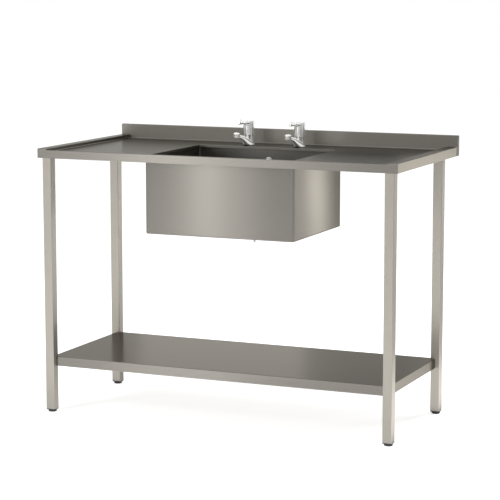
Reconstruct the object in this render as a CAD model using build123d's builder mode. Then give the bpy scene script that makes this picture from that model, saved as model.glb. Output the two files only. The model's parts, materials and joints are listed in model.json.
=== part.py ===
from build123d import *
import os

os.makedirs("parts", exist_ok=True)

# The unit stands on the floor at z = 0, centred on x = y = 0, with its front towards -y.

# top
top_length = 1200.0
top_depth = 600.0
sheet = 1.2
rim_height = 850.0
fascia_bottom = 820.0
return_lip = 8.0
deck_height = 838.0
side_rim = 32.0
front_lip = 6.0
front_lip_height = 846.0
upstand_height = 885.0
upstand_thickness = 15.0
outer_bend = 2.0
floor_bend = 3.0
mouth_edge = 0.8

# bowl
bowl_length = 500.0
bowl_width = 400.0
bowl_front = -240.0
bowl_bottom = 590.0
bowl_corner = 6.0
bowl_flange = 14.0
mouth_length = 480.0
mouth_front = -230.0
mouth_rear = 145.0
mouth_lip = 8.0

# legs and shelf
leg_size = 30.0
leg_wall = 1.5
leg_x = 572.0
front_leg_y = -276.0
rear_leg_y = 183.0
leg_bottom = 10.0
socket_plate = 3.0
socket_plate_size = 52.0
shelf_top = 180.0
shelf_bottom = 150.0
bracket_thickness = 2.0
shelf_lip = 12.0

# taps
tap_spacing = 180.0
tap_y = 203.0
tap_tail_radius = 10.45
tap_hole_radius = 11.0
base_seal = 1.5
handle_bottom = 872.0
handle_top = 920.0
handle_radius = 18.2

# waste and overflow
waste_y = 60.0
waste_thread_radius = 23.9
waste_bottom = 549.0
dish_radius = 41.0
dish_depth = 2.0
overflow_height = 792.0
overflow_hole_radius = 11.0

# sizes worked out from those above
deck_underside = deck_height - sheet
leg_top = deck_underside - socket_plate
bowl_rear = bowl_front + bowl_width
bowl_y = bowl_front + bowl_width / 2
bowl_floor = bowl_bottom + sheet
bowl_top = deck_underside
mouth_width = mouth_rear - mouth_front
mouth_y = (mouth_front + mouth_rear) / 2
recess_front = -top_depth / 2 + front_lip
recess_rear = top_depth / 2 - upstand_thickness
recess_width = recess_rear - recess_front
recess_y = (recess_front + recess_rear) / 2
recess_length = top_length - 2 * side_rim
shelf_length = 2 * leg_x
shelf_width = rear_leg_y - front_leg_y
shelf_y = (front_leg_y + rear_leg_y) / 2
shelf_underside = shelf_top - sheet
leg_half = leg_size / 2
tap_base = deck_height + base_seal
wall_back = bowl_rear

sides = {"left": -1, "right": 1}
rows = {"front": front_leg_y, "rear": rear_leg_y}
corners = {
    f"{row}_{side}": (sign * leg_x, y, -sign, 1 if row == "front" else -1)
    for row, y in rows.items()
    for side, sign in sides.items()
}


def save(part, label):
    part.label = label
    export_step(part, f"parts/{label}.step")


# ---------------------------------------------------------------- top


# The space inside the top's outer skin, or inside its inner skin when inset is the sheet's thickness.
def top_form(inset, floor):
    with BuildPart() as form:
        with BuildSketch(Plane.XY.offset(floor)):
            Rectangle(top_length - 2 * inset, top_depth - 2 * inset)
        extrude(amount=rim_height - inset - floor)
        with BuildSketch(Plane.XY.offset(floor)):
            with Locations((0, top_depth / 2 - upstand_thickness / 2)):
                Rectangle(top_length - 2 * inset, upstand_thickness - 2 * inset)
        extrude(amount=upstand_height - inset - floor)
        with BuildSketch(Plane.XY.offset(deck_height - inset)):
            with Locations((0, recess_y)):
                Rectangle(recess_length + 2 * inset, recess_width + 2 * inset)
        extrude(amount=rim_height, mode=Mode.SUBTRACT)
        # the front lip stands lower than the side rims
        with BuildSketch(Plane.XY.offset(front_lip_height - inset)):
            with Locations((0, recess_front)):
                Rectangle(recess_length + 2 * inset, 3 * front_lip)
        extrude(amount=rim_height, mode=Mode.SUBTRACT)
    return form.part


def at(value, target):
    return abs(value - target) < 0.01


# The outer skin's form with its bends: the recess floor, the upstand's ledge, then the rims and the lip.
def bent_top():
    with BuildPart() as form:
        add(top_form(0, fascia_bottom))
        deck = form.faces().filter_by(lambda face: at(face.center().Z, deck_height))
        fillet(deck.edges(), floor_bend)
        fillet(form.edges().filter_by(lambda edge: at(edge.center().Z, upstand_height)), outer_bend)
        ends = form.edges().filter_by(lambda edge: at(abs(edge.center().X), top_length / 2))
        front_end = -top_depth / 2
        ends = ends.filter_by(lambda edge: at(edge.center().Z, rim_height) or at(edge.center().Y, front_end))
        front = form.edges().filter_by(lambda edge: at(edge.center().Y, -top_depth / 2))
        front = front.filter_by(lambda edge: edge.center().Z > deck_height)
        rims = form.edges().filter_by(lambda edge: at(abs(edge.center().X), recess_length / 2))
        rims = rims.filter_by(lambda edge: at(edge.center().Z, rim_height))
        lip = form.edges().filter_by(lambda edge: at(edge.center().Y, recess_front))
        lip = lip.filter_by(lambda edge: at(edge.center().Z, front_lip_height))
        fillet(ends + front + rims + lip, outer_bend)
    return form.part


with BuildPart() as worktop:
    add(bent_top())
    add(top_form(sheet, fascia_bottom + sheet), mode=Mode.SUBTRACT)
    # the fascia's return lip leaves the underside open
    with BuildSketch(Plane.XY.offset(fascia_bottom - sheet)):
        Rectangle(top_length - 2 * return_lip, top_depth - 2 * return_lip)
    extrude(amount=3 * sheet, mode=Mode.SUBTRACT)
    # mouth of the bowl, turned down all round
    with BuildSketch(Plane.XY.offset(deck_height - mouth_lip)):
        with Locations((0, mouth_y)):
            RectangleRounded(mouth_length + 2 * sheet, mouth_width + 2 * sheet, bowl_corner + sheet)
    extrude(amount=mouth_lip)
    with BuildSketch(Plane.XY.offset(deck_height - 2 * mouth_lip)):
        with Locations((0, mouth_y)):
            RectangleRounded(mouth_length, mouth_width, bowl_corner)
    extrude(amount=3 * mouth_lip, mode=Mode.SUBTRACT)
    deck = worktop.faces().filter_by(lambda face: at(face.center().Z, deck_height)).sort_by(SortBy.AREA)[-1]
    # the welded edge is ground to a small radius
    fillet(deck.inner_wires().edges(), mouth_edge)
    with Locations((0, tap_y, deck_height)):
        with GridLocations(tap_spacing, 0, 2, 1):
            Hole(tap_hole_radius, depth=2 * sheet)

save(worktop.part, "worktop")


# A top-hat channel along y (or x), its flanges against the sheet above.
def hat_channel(length, width, depth, flange, plane):
    with BuildPart() as channel:
        with BuildSketch(plane):
            with BuildLine():
                half = width / 2
                Polyline(
                    (-half - flange, 0),
                    (-half, 0),
                    (-half, -depth),
                    (half, -depth),
                    (half, 0),
                    (half + flange, 0),
                )
                offset(amount=sheet, side=Side.LEFT)
            make_face()
        extrude(amount=length / 2, both=True)
    return channel.part


stiffener_depth = 14.0
stiffener_length = recess_width - 6
for side, sign in sides.items():
    for place, x in (("inner", 340.0), ("outer", 480.0)):
        plane = Plane((sign * x, recess_y, deck_underside - sheet), x_dir=(1, 0, 0), z_dir=(0, -1, 0))
        channel = hat_channel(stiffener_length, 40.0, stiffener_depth, 14.0, plane)
        save(channel, f"top_stiffener_{place}_{side}")


# ---------------------------------------------------------------- bowl

with BuildPart() as bowl_inside:
    with BuildSketch(Plane.XY.offset(bowl_floor)):
        with Locations((0, bowl_y)):
            RectangleRounded(bowl_length - 2 * sheet, bowl_width - 2 * sheet, bowl_corner - sheet)
    extrude(amount=bowl_top - bowl_floor + 1)
    fillet(bowl_inside.faces().sort_by(Axis.Z)[0].edges(), bowl_corner - outer_bend - sheet)
    with BuildSketch(Plane.XY.offset(bowl_floor - dish_depth)):
        with Locations((0, waste_y)):
            Circle(dish_radius - sheet)
    extrude(amount=2 * dish_depth)

with BuildPart() as bowl:
    with BuildSketch(Plane.XY.offset(bowl_bottom)):
        with Locations((0, bowl_y)):
            RectangleRounded(bowl_length, bowl_width, bowl_corner)
    extrude(amount=bowl_top - bowl_bottom)
    fillet(bowl.faces().sort_by(Axis.Z)[0].edges(), bowl_corner - outer_bend)
    # pressed dish that the waste sits in
    with BuildSketch(Plane.XY.offset(bowl_bottom - dish_depth)):
        with Locations((0, waste_y)):
            Circle(dish_radius)
    extrude(amount=dish_depth)
    # flange welded under the deck
    with BuildSketch(Plane.XY.offset(bowl_top - sheet)):
        with Locations((0, bowl_y)):
            flange_corner = bowl_corner + bowl_flange
            RectangleRounded(bowl_length + 2 * bowl_flange, bowl_width + 2 * bowl_flange, flange_corner)
    extrude(amount=sheet)
    add(bowl_inside.part, mode=Mode.SUBTRACT)
    with Locations((0, waste_y, bowl_floor)):
        Hole(waste_thread_radius + 0.6, depth=4 * sheet)
    with Locations(Plane((0, bowl_rear, overflow_height), z_dir=(0, 1, 0))):
        Hole(overflow_hole_radius, depth=3 * sheet)

save(bowl.part, "bowl")

with BuildPart() as earth_tab:
    tab_x = 113.0
    tab_y = -222.0
    with BuildSketch(Plane.XY.offset(bowl_bottom - 0.8)):
        with Locations((tab_x, tab_y)):
            Rectangle(6.3, 9)
    extrude(amount=0.8)
    with BuildSketch(Plane.XZ.offset(-tab_y)):
        with Locations((tab_x, bowl_bottom - 4.9)):
            Rectangle(6.3, 8.2)
        with Locations((tab_x, bowl_bottom - 6.5)):
            Circle(0.9, mode=Mode.SUBTRACT)
    extrude(amount=0.4, both=True)
    tip = earth_tab.faces().sort_by(Axis.Z)[0].edges().filter_by(Axis.Y)
    chamfer(tip, 1.0)

save(earth_tab.part, "earth_tab")


# ---------------------------------------------------------------- legs

screw_radius = 3.0
screw_hole_radius = 3.2
grub_height = 826.5
shelf_screw_height = 165.0
shelf_screw_stagger = 6.0
spigot_depth = 48.0


# Where the shelf's two screws enter a leg: a point on the leg's face and the way back out of it.
def shelf_screw_places(x, y, inward_x, inward_y):
    half = leg_half / 2
    upper = shelf_screw_height + shelf_screw_stagger
    lower = shelf_screw_height - shelf_screw_stagger
    on_x_face = (x + inward_x * leg_half, y + inward_y * half, upper)
    on_y_face = (x + inward_x * half, y + inward_y * leg_half, lower)
    return ((on_x_face, (inward_x, 0, 0)), (on_y_face, (0, inward_y, 0)))


# A cutter or pin along x or y through one wall, from start over length.
def cross_pin(radius, start, direction, length):
    with BuildPart() as pin:
        with BuildSketch(Plane(start, z_dir=direction)):
            Circle(radius)
        extrude(amount=length)
    return pin.part


def leg(x, y, inward_x, inward_y):
    with BuildPart() as tube:
        with BuildSketch(Plane.XY.offset(leg_bottom)):
            with Locations((x, y)):
                RectangleRounded(leg_size, leg_size, outer_bend + 0.5)
                inner = leg_size - 2 * leg_wall
                RectangleRounded(inner, inner, 1.0, mode=Mode.SUBTRACT)
        extrude(amount=leg_top - leg_bottom)
        grub_start = (x + inward_x * leg_half, y, grub_height)
        add(cross_pin(screw_hole_radius, grub_start, (-inward_x, 0, 0), 5), mode=Mode.SUBTRACT)
        for start, outwards in shelf_screw_places(x, y, inward_x, inward_y):
            into_leg = tuple(-step for step in outwards)
            add(cross_pin(screw_radius, start, into_leg, 5), mode=Mode.SUBTRACT)
    return tube.part


# A plate welded under the top, with a square spigot that the leg slides over.
def leg_socket(x, y, inward_x, inward_y):
    spigot = leg_size - 2 * leg_wall - 0.2
    wall = 2.5
    plate_x = x + inward_x * 6
    plate_y = y + inward_y * 6
    with BuildPart() as socket:
        with BuildSketch(Plane.XY.offset(leg_top)):
            with Locations((plate_x, plate_y)):
                RectangleRounded(socket_plate_size, socket_plate_size * 0.9, 4)
        extrude(amount=socket_plate)
        with BuildSketch(Plane.XY.offset(leg_top)):
            with Locations((x, y)):
                RectangleRounded(spigot, spigot, 0.9)
                Rectangle(spigot - 2 * wall, spigot - 2 * wall, mode=Mode.SUBTRACT)
        extrude(amount=-spigot_depth)
        start = (x + inward_x * leg_half, y, grub_height)
        add(cross_pin(screw_radius, start, (-inward_x, 0, 0), 6), mode=Mode.SUBTRACT)
    return socket.part


# A ribbed black plug with a square collar under the leg and a threaded core for the foot.
insert_collar = 3.0
insert_depth = 24.0
stud_radius = 4.0


def foot_insert(x, y):
    plug = leg_size - 2 * leg_wall - 0.2
    with BuildPart() as insert:
        with BuildSketch(Plane.XY.offset(leg_bottom - insert_collar)):
            with Locations((x, y)):
                RectangleRounded(leg_size, leg_size, outer_bend + 0.5)
        extrude(amount=insert_collar)
        chamfer(insert.faces().sort_by(Axis.Z)[0].edges(), 0.8)
        with BuildSketch(Plane.XY.offset(leg_bottom)):
            with Locations((x, y)):
                RectangleRounded(plug, plug, 1.2)
                Rectangle(plug - 3.2, plug - 3.2, mode=Mode.SUBTRACT)
                Circle(7.5)
                Rectangle(plug - 1, 2.4)
                Rectangle(2.4, plug - 1)
        extrude(amount=insert_depth)
        with Locations((x, y, leg_bottom + insert_depth)):
            Hole(stud_radius + 0.06, depth=insert_depth + insert_collar + 1)
    return insert.part


# A round foot on a stud, screwed up tight against the insert's collar.
def levelling_foot(x, y):
    foot_height = leg_bottom - insert_collar
    with BuildPart() as foot:
        with BuildSketch(Plane.XZ):
            with BuildLine():
                Polyline(
                    (0, 0),
                    (11.5, 0),
                    (13.6, 2.2),
                    (13.6, foot_height - 1),
                    (12.6, foot_height),
                    (stud_radius, foot_height),
                    (stud_radius, 31),
                    (stud_radius - 1, 32),
                    (0, 32),
                    close=True,
                )
            make_face()
        revolve(axis=Axis.Z)
    return foot.part.moved(Location((x, y, 0)))


for place, (x, y, inward_x, inward_y) in corners.items():
    save(leg(x, y, inward_x, inward_y), f"leg_{place}")
    save(leg_socket(x, y, inward_x, inward_y), f"leg_socket_{place}")
    save(foot_insert(x, y), f"foot_insert_{place}")
    save(levelling_foot(x, y), f"levelling_foot_{place}")

with BuildPart() as leg_grub_screws:
    for x, y, inward_x, inward_y in corners.values():
        start = (x + inward_x * (leg_half + 0.4), y, grub_height)
        add(cross_pin(screw_radius, start, (-inward_x, 0, 0), 6))
        add(cross_pin(1.5, start, (-inward_x, 0, 0), 3), mode=Mode.SUBTRACT)

save(leg_grub_screws.part, "leg_grub_screws")


# ---------------------------------------------------------------- undershelf


# The shelf's plan, notched at each corner to go round the inner faces of the legs.
def shelf_plan(inset, floor, height):
    with BuildPart() as form:
        with BuildSketch(Plane.XY.offset(floor)):
            with Locations((0, shelf_y)):
                Rectangle(shelf_length - 2 * inset, shelf_width - 2 * inset)
                with GridLocations(shelf_length, shelf_width, 2, 2):
                    notch = leg_size + 2 * inset
                    Rectangle(notch, notch, mode=Mode.SUBTRACT)
        extrude(amount=height)
    return form.part


with BuildPart() as undershelf:
    add(shelf_plan(0, shelf_bottom, shelf_top - shelf_bottom))
    top_edges = undershelf.faces().sort_by(Axis.Z)[-1].edges()
    fillet(top_edges, outer_bend)
    add(shelf_plan(sheet, shelf_bottom + sheet, shelf_top - shelf_bottom - 2 * sheet), mode=Mode.SUBTRACT)
    add(shelf_plan(shelf_lip, shelf_bottom - sheet, 3 * sheet), mode=Mode.SUBTRACT)
    for corner in corners.values():
        for start, outwards in shelf_screw_places(*corner):
            add(cross_pin(screw_hole_radius, start, outwards, 2 * sheet), mode=Mode.SUBTRACT)

save(undershelf.part, "undershelf")


# An angle inside the notch, which the two screws of that corner pull against the leg.
def shelf_bracket(x, y, inward_x, inward_y):
    arm = leg_half + sheet + bracket_thickness - 3
    height = shelf_underside - shelf_bottom - sheet
    corner_x = x + inward_x * (leg_half + sheet + bracket_thickness)
    corner_y = y + inward_y * (leg_half + sheet + bracket_thickness)
    with BuildPart() as bracket:
        with BuildSketch(Plane.XY.offset(shelf_bottom + sheet)):
            with Locations((corner_x - inward_x * bracket_thickness / 2, corner_y - inward_y * arm / 2)):
                Rectangle(bracket_thickness, arm)
            with Locations((corner_x - inward_x * arm / 2, corner_y - inward_y * bracket_thickness / 2)):
                Rectangle(arm, bracket_thickness)
        extrude(amount=height)
        for start, outwards in shelf_screw_places(x, y, inward_x, inward_y):
            add(cross_pin(screw_hole_radius, start, outwards, 5), mode=Mode.SUBTRACT)
    return bracket.part


for place, corner in corners.items():
    save(shelf_bracket(*corner), f"shelf_bracket_{place}")

with BuildPart() as shelf_screws:
    head_seat = sheet + bracket_thickness
    for corner in corners.values():
        for start, outwards in shelf_screw_places(*corner):
            tip = tuple(at - 8 * step for at, step in zip(start, outwards))
            under_head = tuple(at + head_seat * step for at, step in zip(start, outwards))
            add(cross_pin(screw_radius, tip, outwards, 8 + head_seat))
            add(cross_pin(4.6, under_head, outwards, 3.0))

save(shelf_screws.part, "shelf_screws")

plane = Plane((0, shelf_y, shelf_underside - sheet), x_dir=(0, 1, 0), z_dir=(1, 0, 0))
save(hat_channel(shelf_length - 70, 60.0, 18.0, 16.0, plane), "shelf_stiffener")


# ---------------------------------------------------------------- taps

# Each tap is drawn round its own axis, with z = 0 where it stands on its rubber seat ring and its spout
# towards -y, and is then moved to its hole.
skirt_gap = 0.5
skirt_bottom = handle_bottom - tap_base
body_top = skirt_bottom - skirt_gap
head_top = handle_top - tap_base
body_waist = 17.6
tail_length = 50.0
thread_relief = 1.5
thread_relief_depth = 0.7
thread_lead = 0.8
seat_ring_radius = 17.4
washer_thickness = 2.0
washer_radius = 16.5
backnut_height = 7.0
backnut_size = 13.5
cartridge_seat = 6.0
cartridge_radius = 8.5
cartridge_hexagon = 9.5
cartridge_hexagon_height = 6.5
cartridge_collar = 7.0
cartridge_collar_height = 6.0
cartridge_inlet = 2.6
cartridge_floor = 10.0
spindle_radius = 4.0
spindle_clearance = 0.06
spindle_foot = 16.0
spindle_top = 70.0
nozzle_reach = 98.5
nozzle_radius = 10.5
nozzle_bottom = 868.5 - tap_base
nozzle_top = 884.5 - tap_base
nozzle_wall = 2.8
nozzle_depth = 9.0
nozzle_chamfer = 0.8
nozzle_shoulder = 4.0
waterway_radius = 6.5
port_height = 9.6
port_radius = 2.7
port_slope = 14.9
skirt_bore = 15.4
skirt_depth = 22.0
crown_radius = 4.5
handle_screw_hole = 2.6
handle_screw_radius = 2.5
handle_screw_depth = 10.0
handle_screw_head = 4.6
handle_screw_head_height = 2.6
driver_slot = 1.1
cap_seat = 6.0
cap_seat_radius = 7.0
cap_height = 3.0
cap_sink = 0.2
lever_reach = 75.0
lever_tip_height = 918.0 - tap_base


# An oval section across a path that runs forwards and upwards at the given slope in degrees.
def oval(reach, height, half_width, half_height, slope):
    across = Plane((0, -reach, height), x_dir=(1, 0, 0), z_dir=Vector(0, -1, 0).rotate(Axis.X, -slope))
    with BuildSketch(across) as section:
        Ellipse(half_width, half_height)
    return section.sketch


def port_path():
    return Plane((0, 0, port_height), z_dir=Vector(0, -1, 0).rotate(Axis.X, -port_slope))


with BuildPart() as tap_spout:
    add(oval(6, 4.0, 17.0, 14.0, 38))
    add(oval(24, 12.0, 13.5, 11.5, 36))
    add(oval(46, 22.5, 10.0, 8.5, 26))
    add(oval(68, 29.0, 7.5, 6.2, 12))
    add(oval(94, 33.8, 7.4, 4.6, 8))
    loft()
    # its root is cut level with the body's foot
    with BuildSketch():
        Rectangle(2 * nozzle_reach, 2 * nozzle_reach)
    extrude(amount=-nozzle_reach, mode=Mode.SUBTRACT)

with BuildPart() as tap_nozzle:
    with BuildSketch(Plane.XZ):
        with BuildLine():
            rim = nozzle_radius - nozzle_chamfer
            lip = (nozzle_radius, nozzle_bottom + nozzle_chamfer)
            mouth = Polyline((0, nozzle_bottom), (rim, nozzle_bottom), lip)
            wall = Line(mouth @ 1, (nozzle_radius, nozzle_top - nozzle_shoulder))
            top_edge = (nozzle_radius - nozzle_shoulder, nozzle_top)
            shoulder = TangentArc(wall @ 1, top_edge, tangent=(0, 1))
            Polyline(shoulder @ 1, (0, nozzle_top), mouth @ 0)
        make_face()
    revolve(axis=Axis.Z)

with BuildPart() as tap_body:
    with BuildSketch(Plane.XZ):
        with BuildLine():
            foot = Line((0, 0), (handle_radius, 0))
            waist = ThreePointArc(foot @ 1, (body_waist, body_top / 2), (handle_radius, body_top))
            Polyline(waist @ 1, (0, body_top), foot @ 0)
        make_face()
    revolve(axis=Axis.Z)
    chamfer(tap_body.faces().sort_by(Axis.Z)[0].edges(), 0.6)
    add(tap_spout.part)
    add(tap_nozzle.part.moved(Location((0, -nozzle_reach, 0))))
    with BuildSketch():
        Circle(tap_tail_radius)
    extrude(amount=-tail_length)
    chamfer(tap_body.faces().sort_by(Axis.Z)[0].outer_wire().edges(), thread_lead)
    with BuildSketch(Plane.XY.offset(-base_seal - sheet - washer_thickness - backnut_height)):
        Circle(tap_tail_radius + 1)
        Circle(tap_tail_radius - thread_relief_depth, mode=Mode.SUBTRACT)
    extrude(amount=-thread_relief, mode=Mode.SUBTRACT)
    with Locations((0, -nozzle_reach, nozzle_bottom)):
        Hole(nozzle_radius - nozzle_wall, depth=nozzle_depth)
    with Locations((0, 0, body_top)):
        Hole(cartridge_radius, depth=body_top - cartridge_seat)
    with Locations((0, 0, -tail_length)):
        Hole(waterway_radius, depth=tail_length + cartridge_seat + 1)
    # waterway up the spout, from the cartridge's side port to the nozzle
    with BuildSketch(port_path()):
        Circle(port_radius)
    extrude(amount=nozzle_reach, mode=Mode.SUBTRACT)

with BuildPart() as tap_cartridge:
    with BuildSketch(Plane.XY.offset(cartridge_seat)):
        Circle(cartridge_radius)
    extrude(amount=body_top - cartridge_seat)
    with BuildSketch(Plane.XY.offset(body_top)):
        RegularPolygon(cartridge_hexagon, 6, major_radius=False)
    extrude(amount=cartridge_hexagon_height)
    with BuildSketch(Plane.XY.offset(body_top + cartridge_hexagon_height)):
        Circle(cartridge_collar)
    extrude(amount=cartridge_collar_height)
    collar_top = body_top + cartridge_hexagon_height + cartridge_collar_height
    with Locations((0, 0, collar_top)):
        Hole(spindle_radius + spindle_clearance, depth=collar_top - cartridge_floor - cartridge_seat / 2)
    with BuildSketch(Plane.XY.offset(cartridge_seat)):
        Circle(cartridge_inlet)
    extrude(amount=cartridge_floor, mode=Mode.SUBTRACT)
    with BuildSketch(port_path()):
        Circle(port_radius)
    extrude(amount=cartridge_radius + 4, mode=Mode.SUBTRACT)

with BuildPart() as tap_spindle:
    with BuildSketch(Plane.XY.offset(spindle_foot)):
        Circle(spindle_radius)
    extrude(amount=spindle_top - spindle_foot)
    with Locations((0, 0, spindle_top)):
        Hole(handle_screw_radius, depth=handle_screw_depth)

# the lever ends in an upright paddle
with BuildPart() as tap_lever:
    add(oval(6, 71.0, 11.5, 8.4, 6))
    add(oval(30, 73.5, 7.2, 6.6, 8))
    add(oval(52, 76.5, 5.2, 6.4, 6))
    add(oval(lever_reach - 5, lever_tip_height, 5.8, 9.6, 2))
    add(oval(lever_reach + 5, lever_tip_height, 4.8, 8.4, 0))
    loft()
    fillet(tap_lever.faces().sort_by(Axis.Y)[0].edges(), 3.0)

with BuildPart() as tap_handle:
    with BuildSketch(Plane.XZ):
        with BuildLine():
            wall = Line((handle_radius, skirt_bottom), (handle_radius, head_top - crown_radius))
            crown = TangentArc(wall @ 1, (handle_radius - crown_radius, head_top), tangent=(0, 1))
            Polyline(crown @ 1, (0, head_top), (0, skirt_bottom), wall @ 0)
        make_face()
    revolve(axis=Axis.Z)
    add(tap_lever.part)
    with Locations((0, 0, skirt_bottom)):
        Hole(skirt_bore, depth=skirt_depth)
        Hole(spindle_radius, depth=spindle_top - skirt_bottom)
    with Locations((0, 0, head_top)):
        CounterBoreHole(handle_screw_hole, cap_seat_radius, cap_seat, depth=head_top - spindle_top + 1)

with BuildPart() as tap_handle_screw:
    screw_seat = head_top - cap_seat
    with BuildSketch(Plane.XY.offset(screw_seat)):
        Circle(handle_screw_head)
    extrude(amount=handle_screw_head_height)
    with BuildSketch(Plane.XY.offset(screw_seat)):
        Circle(handle_screw_radius)
    extrude(amount=spindle_top - handle_screw_depth + 2 - screw_seat)
    with BuildSketch(Plane.XY.offset(screw_seat + handle_screw_head_height)):
        Rectangle(1.5 * handle_screw_head, driver_slot)
    extrude(amount=-driver_slot, mode=Mode.SUBTRACT)

with BuildPart() as tap_cap:
    with BuildSketch(Plane.XY.offset(head_top - cap_height - cap_sink)):
        Circle(cap_seat_radius)
    extrude(amount=cap_height)
    fillet(tap_cap.faces().sort_by(Axis.Z)[-1].edges(), 0.8)


# A ring of the tap's fixings that hangs from the given height round its threaded tail.
def tail_ring(radius, top, height, sides=0):
    with BuildPart() as ring:
        with BuildSketch(Plane.XY.offset(top)):
            if sides:
                RegularPolygon(radius, sides, major_radius=False)
            else:
                Circle(radius)
            Circle(tap_tail_radius, mode=Mode.SUBTRACT)
        extrude(amount=-height)
        if sides:
            chamfer(ring.faces().sort_by(Axis.Z)[0].outer_wire().edges(), 0.8)
    return ring


washer_top = -base_seal - sheet
tap_pieces = {
    "tap_body": tap_body,
    "tap_cartridge": tap_cartridge,
    "tap_spindle": tap_spindle,
    "tap_handle": tap_handle,
    "tap_handle_screw": tap_handle_screw,
    "tap_cap": tap_cap,
    "tap_seat_ring": tail_ring(seat_ring_radius, 0, base_seal),
    "tap_clamp_washer": tail_ring(washer_radius, washer_top, washer_thickness),
    "tap_backnut": tail_ring(backnut_size, washer_top - washer_thickness, backnut_height, sides=6),
}
for side, sign in sides.items():
    for label, piece in tap_pieces.items():
        save(piece.part.moved(Location((sign * tap_spacing / 2, tap_y, tap_base))), f"{label}_{side}")


# ---------------------------------------------------------------- waste and overflow

dish_floor = bowl_floor - dish_depth
dish_underside = bowl_bottom - dish_depth
throat_radius = 20.5
flange_radius = 36.0
flange_height = 2.0
grid_bar = 3.4
grid_hub = 5.0
seal_thickness = 3.0
seal_radius = 33.0
ring_radius = 32.0
ring_top = dish_underside - seal_thickness
ring_height = 13.0
waste_nut_height = 8.0
waste_nut_size = 31.0
waste_nut_bottom = ring_top - ring_height - waste_nut_height
pipe_height = ring_top - ring_height / 2
pipe_radius = 8.0
pipe_bore = 6.4
spigot_bore = 4.6
pipe_bend = 24.0
pipe_y = wall_back + 18
pipe_top = overflow_height - 14
rose_radius = 14.0
rose_rim = 0.9
rose_dome = 10.2
rose_height = 4.8
rose_middle = 5.0
rose_hole = 1.3
rose_hole_ring = 6.9
overflow_screw_radius = 2.5
elbow_radius = 13.0
elbow_flange = 18.0


# A ring or disc about the waste's axis.
def waste_ring(outer, inner, top, height):
    with BuildPart() as ring:
        with BuildSketch(Plane.XY.offset(top)):
            with Locations((0, waste_y)):
                Circle(outer)
                Circle(inner, mode=Mode.SUBTRACT)
        extrude(amount=-height)
    return ring.part


with BuildPart() as waste:
    relief_radius = waste_thread_radius - thread_relief_depth
    with BuildSketch(Plane.XZ):
        with BuildLine():
            Polyline(
                (throat_radius, waste_bottom),
                (waste_thread_radius - thread_lead, waste_bottom),
                (waste_thread_radius, waste_bottom + thread_lead),
                (waste_thread_radius, waste_nut_bottom - thread_relief),
                (relief_radius, waste_nut_bottom - thread_relief),
                (relief_radius, waste_nut_bottom),
                (waste_thread_radius, waste_nut_bottom),
                (waste_thread_radius, dish_floor),
                (flange_radius, dish_floor),
                (flange_radius, dish_floor + flange_height - 0.8),
                (flange_radius - 1.4, dish_floor + flange_height),
                (throat_radius + 3, dish_floor + flange_height),
                (throat_radius, dish_floor - 3),
                close=True,
            )
        make_face()
    revolve(axis=Axis.Z)
    # cross bars of the grid
    with BuildSketch(Plane.XY.offset(dish_floor - 8)):
        Rectangle(2 * throat_radius + 1, grid_bar)
        Rectangle(grid_bar, 2 * throat_radius + 1)
        Circle(grid_hub)
    extrude(amount=-3)

waste_body = waste.part.moved(Location((0, waste_y, 0)))
save(waste_body, "waste")
save(waste_ring(seal_radius, waste_thread_radius, dish_underside, seal_thickness), "waste_seal")

with BuildPart() as overflow_ring:
    add(waste_ring(ring_radius, waste_thread_radius, ring_top, ring_height))
    with BuildSketch(Plane((0, waste_y + 28, pipe_height), z_dir=(0, 1, 0))):
        Circle(pipe_bore)
    extrude(amount=24)
    with BuildSketch(Plane((0, waste_y + 26, pipe_height), z_dir=(0, 1, 0))):
        Circle(spigot_bore)
    extrude(amount=40, mode=Mode.SUBTRACT)

save(overflow_ring.part, "overflow_ring")

with BuildPart() as waste_backnut:
    with BuildSketch(Plane.XY.offset(ring_top - ring_height)):
        with Locations((0, waste_y)):
            RegularPolygon(waste_nut_size, 6, major_radius=False)
            Circle(waste_thread_radius, mode=Mode.SUBTRACT)
    extrude(amount=-waste_nut_height)
    chamfer(waste_backnut.faces().sort_by(Axis.Z)[0].outer_wire().edges(), 1.2)

save(waste_backnut.part, "waste_backnut")

# the rose and its screw are drawn round z, then laid against the wall
wall_face = Plane((0, bowl_rear - sheet, overflow_height), x_dir=(1, 0, 0), z_dir=(0, -1, 0))
with BuildPart() as overflow_rose:
    with BuildSketch(Plane.XZ):
        with BuildLine():
            rim_line = Polyline((0, 0), (rose_radius, 0), (rose_radius, rose_rim), (rose_dome, rose_rim))
            dome_top = (rose_middle, rose_height)
            dome = ThreePointArc(rim_line @ 1, (rose_dome - 1.5, rose_height - 1), dome_top)
            Polyline(dome @ 1, (0, rose_height), rim_line @ 0)
        make_face()
    revolve(axis=Axis.Z)
    with BuildSketch():
        with PolarLocations(rose_hole_ring, 8):
            Circle(rose_hole)
        Circle(overflow_screw_radius + 0.1)
    extrude(amount=2 * rose_height, mode=Mode.SUBTRACT)

save(overflow_rose.part.moved(wall_face.location), "overflow_rose")

with BuildPart() as overflow_screw:
    with BuildSketch(Plane.XY.offset(rose_height)):
        Circle(1.6 * overflow_screw_radius)
    extrude(amount=1.6)
    fillet(overflow_screw.faces().sort_by(Axis.Z)[-1].edges(), 0.8)
    with BuildSketch(Plane.XY.offset(rose_height)):
        Circle(overflow_screw_radius)
    extrude(amount=-rose_height - 13)

save(overflow_screw.part.moved(wall_face.location), "overflow_screw")

behind_wall = Plane((0, bowl_rear, overflow_height), x_dir=(1, 0, 0), z_dir=(0, 1, 0))
with BuildPart() as overflow_seal:
    with BuildSketch(behind_wall):
        Circle(elbow_flange)
        Circle(overflow_hole_radius - 0.5, mode=Mode.SUBTRACT)
    extrude(amount=2)

save(overflow_seal.part, "overflow_seal")

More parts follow.
